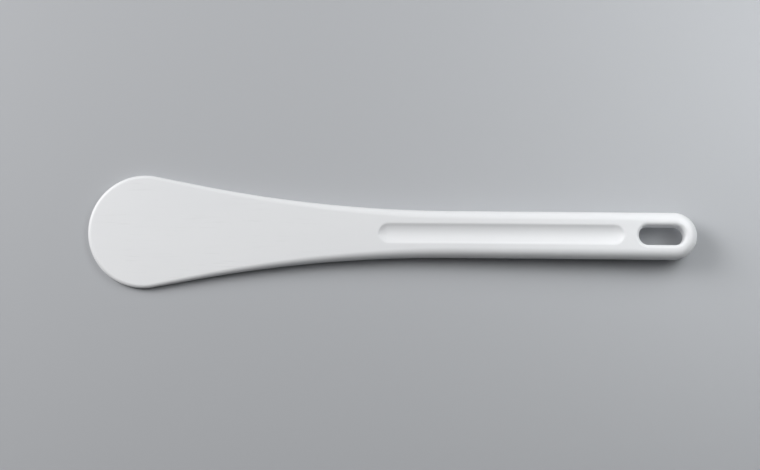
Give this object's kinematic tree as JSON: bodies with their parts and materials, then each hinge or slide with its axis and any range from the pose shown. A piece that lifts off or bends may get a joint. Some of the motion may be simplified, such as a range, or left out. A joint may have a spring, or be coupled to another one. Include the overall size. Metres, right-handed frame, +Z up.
{
  "type": "mixing spatula",
  "caption": "One-piece white plastic mixing spatula: flat round blade, tapering neck, and a round-edged handle with shallow grip scoops and a hanging slot.",
  "frame": {"origin": "middle of the overall length, on the plane that the spatula lies on", "axes": "+X along the length from the blade's tip to the handle's end, +Y across the blade, +Z up, square to the surface that the spatula lies on"},
  "size_m": [0.3, 0.056, 0.0144],
  "materials": {
    "white_plastic": "satin, as moulded"
  },
  "bodies": {
    "root": {"spatula": "white_plastic"}
  },
  "joints": []
}
